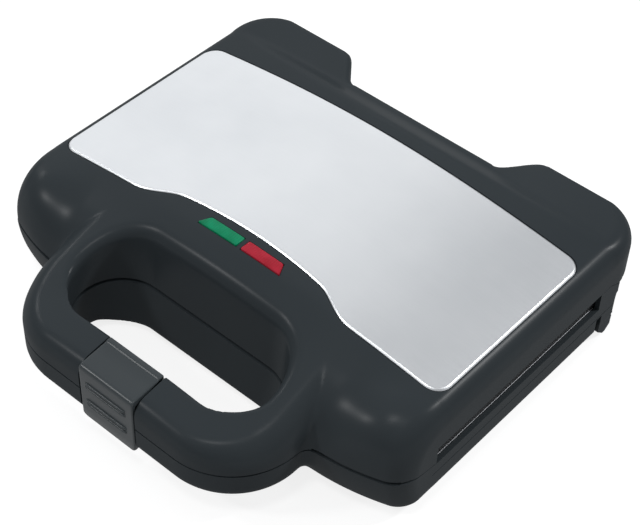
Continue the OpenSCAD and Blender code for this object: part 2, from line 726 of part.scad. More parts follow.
cold_l = 16;
clamp_x = [heater_r - heater_x + 3, heater_x / 2];

// Flat loop of tube in the plane z = 0, its cold ends to the right
module heating_element() {
    l = 2 * heater_x - heater_r;
    translate([heater_r - heater_x, cook_y, 0]) {
        rotate([0, 0, 90]) rotate_extrude(angle = 180) translate([heater_r, 0]) circle(d = heater_d);
        for (s = [-1, 1]) {
            rod_x(heater_d, 0, l, s * heater_r, 0);
            rod_x(heater_d - 3, l - 2, l + cold_l, s * heater_r, 0);
        }
    }
}

upper_heater_z = upper_face + cook_t + heater_d / 2;
lower_heater_z = lower_face - cook_t - heater_d / 2;
module upper_heating_element() color([0.45, 0.42, 0.4]) translate([0, 0, upper_heater_z]) heating_element();
module lower_heating_element() color([0.45, 0.42, 0.4]) translate([0, 0, lower_heater_z]) heating_element();

// Straps over the tube, their feet on the plate at z = -heater_d / 2
module element_clamps() {
    t = 1;
    for (x = clamp_x) for (y = [-1, 1])
        translate([x - 4, cook_y + y * heater_r, 0]) difference() {
            translate([0, -heater_d / 2 - 6, -heater_d / 2]) cube([8, heater_d + 12, heater_d + t]);
            translate([-1, -heater_d / 2 - 7, -heater_d / 2 + t]) cube([10, 7 - t, heater_d + t]);
            translate([-1, heater_d / 2 + t, -heater_d / 2 + t]) cube([10, 7 - t, heater_d + t]);
            translate([-1, -heater_d / 2 - 0.1, -heater_d / 2 - 1]) cube([10, heater_d + 0.2, heater_d + 1.1]);
        }
}

module upper_element_clamps() color("silver") translate([0, 0, upper_heater_z]) element_clamps();
module lower_element_clamps() color("silver")
    translate([0, 0, lower_heater_z]) mirror([0, 0, 1]) element_clamps();

// Shallow tray that turns heat back, its feet down to the plate's back at z = 0
module heat_shield(gap) {
    w = 2 * heater_x + 24;
    d = 2 * heater_r + 34;
    difference() {
        translate([-w / 2, cook_y - d / 2, 0]) cube([w, d, gap + shield_t]);
        translate([-w / 2 + shield_t, cook_y - d / 2 + shield_t, -e]) cube([w - 2 * shield_t, d - 2 * shield_t, gap + e]);
        for (y = [-1, 1]) translate([w / 2 - 2, cook_y + y * heater_r - 4, -e]) cube([4, 8, gap - 0.5]);
        for (x = clamp_x) for (y = [-1, 1])
            translate([x - 5, cook_y + y * heater_r - 6, gap - 0.2]) cube([10, 12, 2]);
    }
}

shield_gap = heater_d + 1.4;
module upper_heat_shield() color([0.75, 0.76, 0.78]) translate([0, 0, upper_face + cook_t + 0.05]) heat_shield(shield_gap + 0.6);
module lower_heat_shield() color([0.75, 0.76, 0.78])
    translate([0, 0, lower_face - cook_t - 0.05]) mirror([0, 0, 1]) heat_shield(heater_d + 1.2);

plate_screw_l = cook_t + 7;
module upper_plate_screws() color("gray")
    each_plate_screw() translate([0, 0, upper_face + 0.1]) screw(plate_screw_l);
module lower_plate_screws() color("gray")
    each_plate_screw() translate([0, 0, lower_face - 0.1]) mirror([0, 0, 1]) screw(plate_screw_l);

// Insulated wire through a list of points
module wire(points, d) {
    for (i = [0:len(points) - 2]) {
        v = points[i + 1] - points[i];
        translate(points[i]) rotate([0, acos(v[2] / norm(v)), atan2(v[1], v[0])]) cylinder(h = norm(v), d = d, $fn = 24);
        if (i > 0) translate(points[i]) sphere(d = 1.6 * d, $fn = 24);
    }
}

wire_d = 2;
lead_x = heater_x + cold_l + 0.05;
turn_x = lead_x + 6.95;
module lid_wiring() color([0.8, 0.2, 0.15]) {
    y = cook_y - heater_r;
    x = lamp_x + lamp_l / 2 + 1.3;
    top = deck_h - 5;
    for (w = [[x, y], [-x, y + 2 * heater_r]])
        wire([[w[0], lamp_y, lamp_z], [w[0], w[1], lamp_z], [w[0], w[1], top], [turn_x, w[1], top],
              [turn_x, w[1], upper_heater_z], [lead_x, w[1], upper_heater_z]], wire_d);
}

// ---------- base ----------

step_z = 18.2;

// How far the base's wall stands in at height z: along the sides, at the front and at the rear
function tuck(z) = let (u = clamp01((base_edge_z + 2 - z) / (base_edge_z + 2 - belly_z)))
    7 * (1 - sqrt(1 - u * u));
function side_in(z) = tuck(z) + (z > step_z ? 0.4 : 0);
function front_in(z) = 1.3 * tuck(z) + 5 * pow(clamp01((part_z - z) / 24), 1.6);
function rear_in(z) = tuck(z) + 2.5 * clamp01((part_z + 2.2 - z) / 26);

function base_ring(z, inset, h) =
    let (w = half_w - side_in(z) - inset, f = front_in(z) + inset, n = 16,
         xs = [for (i = [-n:n]) w * sin(90 * i / n)])
    concat([for (x = xs) [x, bow_y(x) + corner_y(x, w) + f, h]],
           [[w, base_rear_y - rear_in(z) - inset, h], [-w, base_rear_y - rear_in(z) - inset, h]]);

module base_body(inset) {
    low = belly_z + inset;
    zs = [for (t = [0, 0.08, 0.22, 0.45, 0.7, 1]) low + t * (base_edge_z + 2 - belly_z)];
    loft([for (z = concat(zs, [step_z, step_z + 0.15, part_z + 2.2, side_slot_z + inset]))
              base_ring(z < step_z ? z - inset : z, inset, z)], true);
}

// Moulded feet at the four corners
module moulded_feet() {
    f = body_front_y;
    r = base_rear_y;
    for (s = [-1, 1]) translate([s * (half_w - 8.1), 0, 0]) bar_x(-8, 8) {
        polygon([[f + 31.6, base_edge_z + 2], [f + 31.2, belly_z + 0.4], [f + 28, belly_z - 0.8],
                 [f + 24, belly_z - 0.4], [f + 18, base_edge_z], [f + 18, base_edge_z + 2]]);
        polygon([[r - 13.5, base_edge_z + 2], [r - 13, base_edge_z - 1.5], [r - 7.6, foot_z],
                 [r - 5.6, foot_z], [r - 2.3, belly_z], [r - 2.1, base_edge_z + 2]]);
    }
}

arm_foot_z = 10;
arm_foot_t = 5;
arm_front_y = base_rear_y - 14;
module each_hinge_screw() {
    for (s = [-1, 1]) for (x = [-8, 8]) translate([s * arm_x + x, arm_front_y + 4.2, 0]) children();
}

module base_bosses() {
    each_base_screw() cylinder(h = frame_top - frame_t - 0.1, d = 7, $fn = 24);
    each_plate_screw() cylinder(h = lower_face - cook_t - 0.05, d = 7, $fn = 24);
    each_hinge_screw() cylinder(h = arm_foot_z, d = 6, $fn = 24);
}

// Everything above the base's upper edge: joint, side slots and rear blocks
module base_trim() {
    bar_x(-half_w - 1, half_w + 1) polygon(concat(
        [[front_y - 5, deck_h], [front_y - 5, frame_top], [slot_y, frame_top], [slot_y, side_top_z],
         [slot_rear_y, side_top_z], [slot_rear_y, side_slot_z - part_gap]],
        lug_arc(part_gap), [[rear_y, rear_wall_z], [rear_y, deck_h]]));
    side_strips() polygon([[slot_y - slot_ramp, frame_top], [slot_y + e, frame_top + 1], [slot_y + e, side_top_z]]);
}

gland_z = 17;
module base_form() {
    resize([body_w, 0, 0]) difference() {
        union() {
            base_body(0);
            handle_body(-1, 0, part_z);
            moulded_feet();
        }
        difference() {
            union() {
                base_body(wall);
                difference() {
                    handle_body(-1, wall, part_z + 4);
                    translate([-latch_half - 3, handle_y - 5, 0]) cube([latch_w + 6, bar_d + 10, deck_h]);
                }
            }
            base_hole(wall);
            base_bosses();
        }
        base_hole(0);
        base_trim();
        latch_seat();
        each_base_screw() translate([0, 0, belly_z + 3]) cylinder(h = deck_h, d = screw_d - 0.4, $fn = 16);
        each_plate_screw() translate([0, 0, belly_z + 3]) cylinder(h = deck_h, d = screw_d - 0.4, $fn = 16);
        each_hinge_screw() translate([0, 0, belly_z + 1]) cylinder(h = deck_h, d = screw_d - 0.4, $fn = 16);
        vents();
    }
}

// Slots under the base that let warm air out
module vents() {
    for (x = [-4:4]) translate([x * 10 - 1.5, cook_y - 18, 0]) cube([3, 36, belly_z + wall + 1]);
}

module base_shell() color([0.22, 0.24, 0.25]) difference() {
    base_form();
    translate([0, base_rear_y + 5, gland_z]) rotate([90, 0, 0]) cylinder(h = 20, d = gland_d);
}

gland_d = cord_bore + 4;

// Bush in the rear wall with a collar on each side
module cord_gland() color([0.1, 0.1, 0.1]) {
    y = base_rear_y;
    translate([0, 0, gland_z]) rotate([90, 0, 0]) difference() {
        union() {
            translate([0, 0, -y - 3]) cylinder(h = wall + 8, d = gland_d - 0.3);
            translate([0, 0, -y - 3]) cylinder(h = 2.6, d = gland_d + 4);
            translate([0, 0, -y + wall + 2.6]) cylinder(h = 2.4, d = gland_d + 2);
        }
        translate([0, 0, -y - 20]) cylinder(h = 40, d = cord_bore);
    }
}

// Hinge arm: foot on the base's bosses, neck in front of the rear wall, eye on the axis
module hinge_arm(side) {
    translate([side * arm_x, 0, 0]) difference() {
        union() {
            bar_x(-arm_t / 2, arm_t / 2) {
                translate([axis_y, axis_z]) circle(5);
                polygon([[arm_front_y + 2, arm_foot_z + 1], [arm_front_y + 9, arm_foot_z + 1],
                         [arm_front_y + 9.5, rear_wall_z], [axis_y + 4, axis_z - 3],
                         [axis_y - 3.5, axis_z + 3.6], [arm_front_y + 2, rear_wall_z + 2]]);
            }
            translate([-11, arm_front_y, arm_foot_z]) cube([22, 8.4, arm_foot_t]);
        }
        rod_x(hinge_pin_d + 0.04, -20, 20, axis_y, axis_z);
        for (x = [-8, 8]) translate([x, arm_front_y + 4.2, 0]) cylinder(h = 20, d = screw_d + 0.4);
    }
}

module left_hinge_arm() color([0.55, 0.57, 0.6]) hinge_arm(-1);
module right_hinge_arm() color([0.55, 0.57, 0.6]) hinge_arm(1);

pin_half = arm_t / 2 + ear_gap + ear_t + 1.6;
module hinge_pins() color("silver")
    for (s = [-1, 1]) rod_x(hinge_pin_d, s * arm_x - pin_half, s * arm_x + pin_half, axis_y, axis_z);

module hinge_screws() color("gray")
    each_hinge_screw() translate([0, 0, arm_foot_z + arm_foot_t + 1.45]) mirror([0, 0, 1]) screw(10);

module rubber_feet() color([0.08, 0.08, 0.08])
    for (x = [-1, 1]) for (y = [body_front_y + 25, base_rear_y - 14])
        translate([x * (half_w - 24), y, 0]) cylinder(h = belly_z, d = pad_d);

thermostat_x = 30;
module thermostat() color([0.7, 0.68, 0.62]) {
    translate([thermostat_x, cook_y, lower_face - cook_t - 4.05]) cylinder(h = 4, d = 14);
    for (x = [-4, 4]) translate([thermostat_x + x - 0.4, cook_y - 2.5, lower_face - cook_t - 6.5]) cube([0.8, 5, 3]);
}

fuse_d = 4;
module thermal_fuse() color([0.85, 0.8, 0.7])
    rod_x(fuse_d, -thermostat_x - 6, -thermostat_x + 6, cook_y, lower_face - cook_t - 0.1 - fuse_d / 2);

floor_z = belly_z + wall;
block_pitch = 8;
block_w = 3 * block_pitch;
block_x = block_w;
block_d = 12;
block_h = 10;
block_y = arm_front_y - block_d;
module terminal_block() color([0.9, 0.9, 0.86]) difference() {
    translate([block_x, block_y, floor_z + 0.05]) cube([block_w, block_d, block_h]);
    for (i = [0:2]) translate([block_x + block_pitch * (i + 0.5), block_y, floor_z]) {
        translate([0, -1, 4]) rotate([-90, 0, 0]) cylinder(h = block_d + 2, d = wire_d + 1);
        translate([0, block_d / 2, 5]) cylinder(h = block_h, d = wire_d + 1.4);
    }
}

// Saddle that holds the mains lead inside the gland
clamp_half = cord_bore / 2 + 7.7;
clamp_d = 6;
clamp_y = arm_front_y - 3.8;
module wire_clamp() color([0.3, 0.3, 0.32]) difference() {
    translate([-clamp_half, clamp_y, floor_z + 0.05]) cube([2 * clamp_half, clamp_d, gland_z + 5 - floor_z]);
    translate([0, clamp_y + clamp_d + 1, gland_z]) rotate([90, 0, 0]) cylinder(h = clamp_d + 2, d = cord_bore);
    for (s = [-1, 1]) translate([s * (clamp_half - 3), clamp_y + clamp_d / 2, 0]) cylinder(h = deck_h, d = 2.6);
}

module base_wiring() color([0.2, 0.3, 0.7]) {
    y = cook_y - heater_r;
    z = lower_heater_z;
    h = floor_z + 4;
    x = turn_x + 1;
    mid = block_x + 1.5 * block_pitch;
    end = block_x + 0.5 * block_pitch;
    rear = block_y + block_d + 3;
    wire([[lead_x, y, z], [x, y, z], [x, block_y - 2, z], [mid, block_y - 2, h], [mid, block_y + 4, h]], wire_d);
    wire([[x - 1, y + 2 * heater_r, z], [lead_x, y + 2 * heater_r, z]], wire_d);
    wire([[end, rear - 7, h], [end, rear, h], [end - 12, rear, h + 2]], wire_d);
}

lid_shell();
trim_plate();
green_lens();
red_lens();
indicator_lamps();
lamp_holder();
lid_frame();
upper_cooking_plate();
upper_heating_element();
upper_element_clamps();
upper_heat_shield();
upper_plate_screws();
lid_screws();
lid_wiring();
latch_pin();
latch();
base_shell();
base_frame();
lower_cooking_plate();
lower_heating_element();
lower_element_clamps();
lower_heat_shield();
lower_plate_screws();
base_screws();
thermostat();
thermal_fuse();
terminal_block();
base_wiring();
wire_clamp();
cord_gland();
left_hinge_arm();
right_hinge_arm();
hinge_pins();
hinge_screws();
rubber_feet();
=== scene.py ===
import json
import math
import bpy
import bmesh
import numpy as np
from mathutils import Matrix, Vector


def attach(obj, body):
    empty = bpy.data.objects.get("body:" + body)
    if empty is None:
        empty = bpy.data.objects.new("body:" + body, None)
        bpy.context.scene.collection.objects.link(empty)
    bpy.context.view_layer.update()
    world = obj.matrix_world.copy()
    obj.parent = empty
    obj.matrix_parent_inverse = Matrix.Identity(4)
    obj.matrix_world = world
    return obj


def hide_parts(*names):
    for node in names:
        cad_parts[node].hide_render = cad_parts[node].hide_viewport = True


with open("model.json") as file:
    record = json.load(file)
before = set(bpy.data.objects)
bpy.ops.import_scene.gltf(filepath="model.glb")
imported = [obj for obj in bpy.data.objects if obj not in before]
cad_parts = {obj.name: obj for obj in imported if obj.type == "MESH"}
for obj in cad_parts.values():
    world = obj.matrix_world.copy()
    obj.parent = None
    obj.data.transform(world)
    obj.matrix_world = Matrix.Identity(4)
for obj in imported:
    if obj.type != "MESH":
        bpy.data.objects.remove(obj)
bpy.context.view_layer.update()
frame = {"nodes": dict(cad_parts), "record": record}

# ---------------------------------------------------------------- sizes in millimetres, as in the CAD
MM = 0.001
BODY_W, BODY_L = 240.0, 228.5
HALF_W = BODY_W / 2
FRONT_Y, REAR_Y = -BODY_L / 2, BODY_L / 2
DECK, CROWN = 56.0, 9.4                     # lid's top along its side edges, and its rise in the middle
PART_Z, PART_GAP = 28.0, 0.3                # joint of the two shells, and the gap in it
LIP = 0.3                                   # taken off both shells at the joint, a dark line in the photo
WALL = 2.4

# loop handle, finger hole and the body's front behind them
HANDLE_Y, HANDLE_HALF, HANDLE_R = FRONT_Y + 1.0, 75.5, 36.0
HANDLE_LOW = 12.5
BAR = 18.5                                  # the handle's bar, front to back
HOLE_R, HOLE_HALF = 22.2, 57.0
HOLE_X, HOLE_Y = HOLE_HALF - HOLE_R, HANDLE_Y + BAR + HOLE_R
BODY_FRONT = HANDLE_Y + 42.0
BOW_X, BOW_R = 70.0, 118.0                  # the front is straight as far as BOW_X, then bends back

# steel plate in the lid's top, and the lenses in front of it
PLATE_W, PLATE_D, PLATE_R = 226.0, 102.4, 8.0
PLATE_FRONT = BODY_FRONT + 38.5
PLATE_REAR = PLATE_FRONT + PLATE_D
LENS_IN, LENS_OUT, LENS_SLANT, LENS_D, LENS_GAP = 1.3, 24.2, 2.8, 6.0, 0.7

# hinge lugs, the notch between them, and the base's back
LUG_R = 16.5
AXIS_Y, AXIS_Z = REAR_Y - LUG_R, 48.0
LID_EDGE = AXIS_Z - LUG_R
NOTCH_D, NOTCH_X, LUG_X = 17.0, 43.0, 62.0  # the notch's flanks run from NOTCH_X to LUG_X
NOTCH_Y = REAR_Y - NOTCH_D
BASE_REAR = REAR_Y - 18.0
LUG_SLOT_X, LUG_SLOT_HALF = 75.0, 9.0

# slot along each side, and the base's underside
SLOT_Y, SLOT_REAR, SLOT_RAMP = PLATE_FRONT - 6.5, BASE_REAR - 16.5, 16.0
SIDE_TOP, SLOT_TOP = 24.5, 34.6
BELLY, EDGE_Z = 4.5, 8.0                    # underside, and the side walls' lower edge
STEP_Z = 18.0                               # fine line along the base's sides
FOOT_X, FOOT_HALF = 111.9, 8.0

# latch clip over the handle's bar
LATCH_Y, LATCH_HALF, LATCH_LOW = HANDLE_Y - 0.3, 16.15, 11.0
LATCH_TOP_FRONT, LATCH_TOP_REAR = 4.0, BAR  # where its top is measured, behind its front
PIN_Y, PIN_DROP, PIN_R = HANDLE_Y + 13.0, 6.2, 1.55

PAST, FAR = HALF_W + 4, 130.0               # how far the cutters reach, across the part and along it
GRID = 1.25


# ---------------------------------------------------------------- small helpers
def ease(a, b, x):
    """From 0 at a to 1 at b, level at both ends."""
    t = np.clip((x - a) / (b - a), 0.0, 1.0)
    return t * t * (3.0 - 2.0 * t)


def soft(u):
    """0 below 0 and u above it, with a rounded bend."""
    return 0.5 * (u + np.sqrt(u * u + 16.0))


def meet(a, b, r, p=2.0):
    """Intersection of two solids with an edge rounded by radius r."""
    s = np.maximum(a + r, 0.0) ** p + np.maximum(b + r, 0.0) ** p
    return np.minimum(np.maximum(a, b), -r) + s ** (1.0 / p)


def join(a, b, r):
    """Union of two solids with a fillet of radius r."""
    return np.maximum(np.minimum(a, b), r) - np.hypot(np.maximum(r - a, 0.0), np.maximum(r - b, 0.0))


def circle(cx, cy, r, angles):
    """Points on a circle round (cx, cy) at the given degrees."""
    return [(cx + r * math.cos(math.radians(a)), cy + r * math.sin(math.radians(a))) for a in angles]


def round_in(r, past):
    """How far a round corner of radius r has drawn an edge in, at past beyond the corner's start."""
    return r - math.sqrt(max(0.0, r * r - max(0.0, past) ** 2))


# ---------------------------------------------------------------- the shells' outer form
def crown(x):
    """Rise of the lid's top over its side edges."""
    t = np.abs(x) / (PLATE_W / 2)
    return CROWN * (1 - t * t) * (1 - 0.11 * t * t)


def top_z(x, y):
    """Lid's top: a crowned deck that falls to the handle in front and levels off behind the plate."""
    slope, less, turn = 0.335, 0.6, 58.0    # slope of the fall, and the part of it that ends at the turn
    u = PLATE_FRONT - y
    fall = slope * (soft(u) - less * soft(u - turn))
    share = 1 - ease(HANDLE_HALF + 2, 108.0, np.abs(x))
    t = np.abs(x) / HALF_W
    shelf = crown(x) * ease(PLATE_REAR + 5 + 12 * t * t, PLATE_REAR + 26 - 4 * t * t, y)
    return DECK + crown(x) - fall * share - shelf


def bow_y(x):
    """Front of the body beside the handle."""
    u = np.maximum(0.0, np.abs(x) - BOW_X)
    return BODY_FRONT + u * u / (2 * BOW_R)


def before_bow(x, y, back=0.0):
    """Distance in front of the body's front, set back by the given amount."""
    return (bow_y(x) + back - y) / np.sqrt(1 + (np.maximum(0, np.abs(x) - BOW_X) / BOW_R) ** 2)


def handle_plan(x, y):
    """Distance to the handle's outline, negative inside it."""
    qx = np.abs(x) - (HANDLE_HALF - HANDLE_R)
    qy = (HANDLE_Y + HANDLE_R) - y
    return np.hypot(np.maximum(qx, 0), np.maximum(qy, 0)) + np.minimum(np.maximum(qx, qy), 0) - HANDLE_R


def hole_plan(x, y, z):
    """Distance to the finger hole's wall, negative inside; it leans back upwards and narrows downwards."""
    up, down = np.maximum(z - PART_Z, 0), np.minimum(z - PART_Z, 0)
    lean = (0.1 * up + 0.235 * down) * ease(HOLE_Y - 4.0, HOLE_Y + 20.0, y)
    lean = lean + 0.06 * up * (1 - ease(HOLE_Y - 18.0, HOLE_Y - 6.0, y))
    qx = np.maximum(np.abs(x) - HOLE_X - 0.07 * down, 0.0)
    return np.hypot(qx, (y - lean) - HOLE_Y) - HOLE_R


def lid_outer(x, y, z):
    """Distance to the lid's outer face, negative inside it."""
    ax = np.abs(x)
    top = (z - top_z(x, y)) / np.sqrt(1 + 0.14 * (y < PLATE_FRONT))

    # body: sides and lugs in plan, then the top's edge, wider along the sides than at the rear
    corner, side_r, rear_r = 21.0, 9.0, 3.0
    brow_r, brow_power = 25.0, 2.3
    side = ax - HALF_W
    flank = 1.15 * (ax > NOTCH_X) * (ax < LUG_X)
    rear = (y - (NOTCH_Y + NOTCH_D * ease(NOTCH_X, LUG_X, ax))) / np.sqrt(1 + flank ** 2)
    plan = meet(side, rear, corner)
    cs, cr = np.maximum(side + corner, 0), np.maximum(rear + corner, 0)
    share = np.where(cs + cr > 0, cs / (np.hypot(cs, cr) + 1e-9), 1.0)
    brow = meet(top, before_bow(x, y), brow_r, brow_power)
    body = meet(brow, plan, rear_r + (side_r - rear_r) * share)

    # handle, its edge wider towards its ends, and a soft union that leaves the shared top as it is
    edge = 7.0 + 4.0 * ease(40.0, 72.0, ax)
    arm = np.maximum(meet(top, handle_plan(x, y), edge), y - (BODY_FRONT + 40.0))
    blend = 7.0
    e1, e2 = np.maximum(body - top, 1e-4), np.maximum(arm - top, 1e-4)
    m = np.minimum(e1, e2)
    form = top + m * ((m / e1) ** blend + (m / e2) ** blend) ** (-1.0 / blend)
    form = np.where(y > BODY_FRONT + 34.0, body, form)

    # rim of the finger hole, rounder at its back
    form = meet(form, -hole_plan(x, y, z), 1.2 + 3.8 * ease(HOLE_Y - 18.0, HOLE_Y - 2.0, y))

    # rounded underside of the hinge lugs
    ry, rz = y - AXIS_Y, z - AXIS_Z
    lug = np.where((ry > 0) & (rz < 0), np.hypot(ry, rz) - LUG_R, -50.0)
    return meet(form, lug, 1.0)


def base_outer(x, y, z):
    """Distance to the base's outer face, negative inside it."""
    ax = np.abs(x)

    # body: upright sides, with the front and the rear drawn in downwards
    low = np.clip((PART_Z - z) / 24.0, 0, 1)
    rear = y - (BASE_REAR - 2.5 * np.clip((PART_Z + 2.2 - z) / 26.0, 0, 1))
    plan = meet(np.maximum(ax - HALF_W, rear), before_bow(x, y, 5.0 * low ** 1.6), 8.0)

    # underside, raised along the sides between the feet
    raised = ease(98, 106, ax) * ease(BODY_FRONT + 28.5, BODY_FRONT + 32.5, y)
    raised = raised * (1 - ease(BASE_REAR - 15.0, BASE_REAR - 11.5, y))
    body = meet(plan, BELLY + (EDGE_Z - BELLY) * raised - z, 6.5 - 4.5 * raised)

    # handle, and the collar that stays down round the back of the finger hole
    arm = np.maximum(meet(handle_plan(x, y), HANDLE_LOW - z, 6.0), y - (BODY_FRONT + 20.0))
    hole = hole_plan(x, y, z)
    collar = meet(hole - 8.0, BELLY + 1.5 - z, 3.0)
    collar = meet(collar, HOLE_Y - 4.45 - y, 6.0)
    form = join(join(body, arm, 5.5), collar, 5.0)
    return meet(form, -hole, 4.5 - 2.3 * ease(34, 50, ax) * ease(HOLE_Y - 7.45, HOLE_Y - 1.45, y))


# ---------------------------------------------------------------- meshing
def surface_net(fn, lo, hi, h):
    """Quads over the zero surface of fn between the corners lo and hi, at about h apart."""
    grid = [np.arange(lo[i], hi[i] + h, h) for i in range(3)]
    n = [len(g) for g in grid]
    val = np.empty(n)
    yy, zz = np.meshgrid(grid[1], grid[2], indexing="ij")
    for i, xv in enumerate(grid[0]):
        val[i] = fn(np.full_like(yy, xv), yy, zz)
    neg = val < 0
    corners = [(i, j, k) for i in (0, 1) for j in (0, 1) for k in (0, 1)]
    inside = np.zeros([k - 1 for k in n], int)
    for o in corners:
        inside += neg[tuple(slice(o[i], n[i] - 1 + o[i]) for i in range(3))]
    mixed = (inside > 0) & (inside < 8)
    cell = np.stack(np.nonzero(mixed), 1)
    index = np.full(mixed.shape, -1)
    index[mixed] = np.arange(len(cell))

    # one vertex in each mixed cell, at the mean of its edges' crossings
    total, count = np.zeros((len(cell), 3)), np.zeros(len(cell))
    for a in corners:
        for axis in [i for i in range(3) if not a[i]]:
            c = [1 if i == axis else a[i] for i in range(3)]
            va, vb = val[tuple((cell + a).T)], val[tuple((cell + c).T)]
            hit = (va < 0) != (vb < 0)
            point = np.tile(np.array(a, float), (len(cell), 1))
            point[:, axis] += np.where(hit, va / np.where(hit, va - vb, 1), 0)
            total[hit] += point[hit]
            count[hit] += 1
    verts = (total / count[:, None] + cell) * h + np.array([g[0] for g in grid])

    # one quad round each grid edge that crosses the surface
    quads = []
    for axis in range(3):
        o1, o2 = (axis + 1) % 3, (axis + 2) % 3
        start, end = [slice(None)] * 3, [slice(None)] * 3
        start[axis], end[axis] = slice(0, -1), slice(1, None)
        p = np.stack(np.nonzero(neg[tuple(start)] != neg[tuple(end)]), 1)
        p = p[(p[:, o1] > 0) & (p[:, o2] > 0) & (p[:, o1] < n[o1] - 1) & (p[:, o2] < n[o2] - 1)]
        ring = []
        for d1, d2 in ((-1, -1), (0, -1), (0, 0), (-1, 0)):
            c = p.copy()
            c[:, o1] += d1
            c[:, o2] += d2
            ring.append(index[tuple(c.T)])
        ring = np.stack(ring, 1)
        outward = ~neg[tuple(start)][tuple(p.T)]
        ring[outward] = ring[outward][:, ::-1]
        quads.append(ring)

    # pull the vertices onto the surface
    step = 0.05 * np.eye(3)
    for _ in range(4):
        slope = np.stack([(fn(*(verts + d).T) - fn(*(verts - d).T)) / 0.1 for d in step], 1)
        steep = np.maximum((slope * slope).sum(1), 0.2)
        verts -= slope * np.clip(fn(*verts.T) / steep, -0.5 * h, 0.5 * h)[:, None]
    return verts, np.concatenate(quads).tolist()


def new_object(name, verts, faces):
    me = bpy.data.meshes.new(name)
    me.from_pydata((np.asarray(verts) * MM).tolist(), [], faces)
    ob = bpy.data.objects.new(name, me)
    bpy.context.scene.collection.objects.link(ob)
    return ob


def closed(ob):
    """Turns the faces of a closed mesh outwards and splits its large faces."""
    bm = bmesh.new()
    bm.from_mesh(ob.data)
    bmesh.ops.recalc_face_normals(bm, faces=bm.faces)
    bmesh.ops.triangulate(bm, faces=[f for f in bm.faces if len(f.verts) > 4])
    bm.to_mesh(ob.data)
    bm.free()
    return ob


def tube(name, rings):
    """Closed solid through rings of equally many points."""
    n = len(rings[0])
    faces = [list(range(n))[::-1], list(range((len(rings) - 1) * n, len(rings) * n))]
    for j in range(0, (len(rings) - 1) * n, n):
        faces += [[j + i, j + (i + 1) % n, j + n + (i + 1) % n, j + n + i] for i in range(n)]
    return closed(new_object(name, [p for ring in rings for p in ring], faces))


def prism(name, outline, a, b, axis="z"):
    """Closed prism: outline in the plane across axis, from a to b along it."""
    place = {"x": lambda p, t: (t, p[0], p[1]), "y": lambda p, t: (p[0], t, p[1]),
             "z": lambda p, t: (p[0], p[1], t)}[axis]
    return tube(name, [[place(p, t) for p in outline] for t in (a, b)])


def box(lo, hi):
    return prism("box", [(lo[0], lo[1]), (hi[0], lo[1]), (hi[0], hi[1]), (lo[0], hi[1])], lo[2], hi[2])


def boolean(ob, tool, op="DIFFERENCE"):
    """Cuts tool out of ob, or joins it to ob, and deletes it."""
    m = ob.modifiers.new("cut", "BOOLEAN")
    m.operation = op
    m.object = tool
    m.solver = "MANIFOLD"
    me = bpy.data.meshes.new_from_object(ob.evaluated_get(bpy.context.evaluated_depsgraph_get()))
    ob.modifiers.clear()
    old = ob.data
    ob.data = me
    bpy.data.meshes.remove(old)
    bpy.data.objects.remove(tool, do_unlink=True)


def smooth(ob, angle=35.0):
    ob.data.shade_smooth()
    ob.data.set_sharp_from_angle(angle=math.radians(angle))


# ---------------------------------------------------------------- materials
MAT = {}                                    # every material, by the name that the calls below give it


def material(name, base, rough=0.5, metal=0.0, spec=0.5):
    m = bpy.data.materials.new(name)
    MAT[name] = m
    m.use_nodes = True
    shader = m.node_tree.nodes["Principled BSDF"]
    shader.inputs["Base Color"].default_value = (*base, 1)
    shader.inputs["Roughness"].default_value = rough
    shader.inputs["Metallic"].default_value = metal
    shader.inputs["Specular IOR Level"].default_value = spec
    return m.node_tree, shader


def coords(nt, scale=(1, 1, 1)):
    c = nt.nodes.new("ShaderNodeTexCoord")
    m = nt.nodes.new("ShaderNodeMapping")
    m.inputs["Scale"].default_value = scale
    nt.links.new(c.outputs["Object"], m.inputs["Vector"])
    return m.outputs["Vector"]


def noise(nt, vec, scale, detail=3.0, rough=0.5):
    n = nt.nodes.new("ShaderNodeTexNoise")
    n.inputs["Scale"].default_value = scale
    n.inputs["Detail"].default_value = detail
    n.inputs["Roughness"].default_value = rough
    nt.links.new(vec, n.inputs["Vector"])
    return n.outputs["Fac"]


def colour(nt, shader, fac, at_a, a, at_b, b):
    """Base colour from a, where fac is at_a, to b, where it is at_b."""
    r = nt.nodes.new("ShaderNodeValToRGB")
    for stop, place, value in zip(r.color_ramp.elements, (at_a, at_b), (a, b)):
        stop.position = place
        stop.color = (*value, 1)
    nt.links.new(fac, r.inputs["Fac"])
    nt.links.new(r.outputs["Color"], shader.inputs["Base Color"])


def roughness(nt, shader, fac, lo, hi):
    r = nt.nodes.new("ShaderNodeMapRange")
    r.inputs["To Min"].default_value = lo
    r.inputs["To Max"].default_value = hi
    nt.links.new(fac, r.inputs["Value"])
    nt.links.new(r.outputs["Result"], shader.inputs["Roughness"])


def bump(nt, shader, fac, strength, distance):
    n = nt.nodes.new("ShaderNodeBump")
    n.inputs["Strength"].default_value = strength
    n.inputs["Distance"].default_value = distance
    nt.links.new(fac, n.inputs["Height"])
    nt.links.new(n.outputs["Normal"], shader.inputs["Normal"])


def plastic(name, a, b, rough=(0.42, 0.5), grain=0.06, spec=0.5, coat=0.0):
    nt, shader = material(name, a, spec=spec)
    shader.inputs["Coat Weight"].default_value = coat
    shader.inputs["Coat Roughness"].default_value = rough[0]
    v = coords(nt)
    fine = noise(nt, v, 1900.0, 2.0, 0.6)
    colour(nt, shader, noise(nt, v, 14.0, 2.0), 0.3, a, 0.7, b)
    roughness(nt, shader, fine, *rough)
    bump(nt, shader, fine, grain, 0.0003)


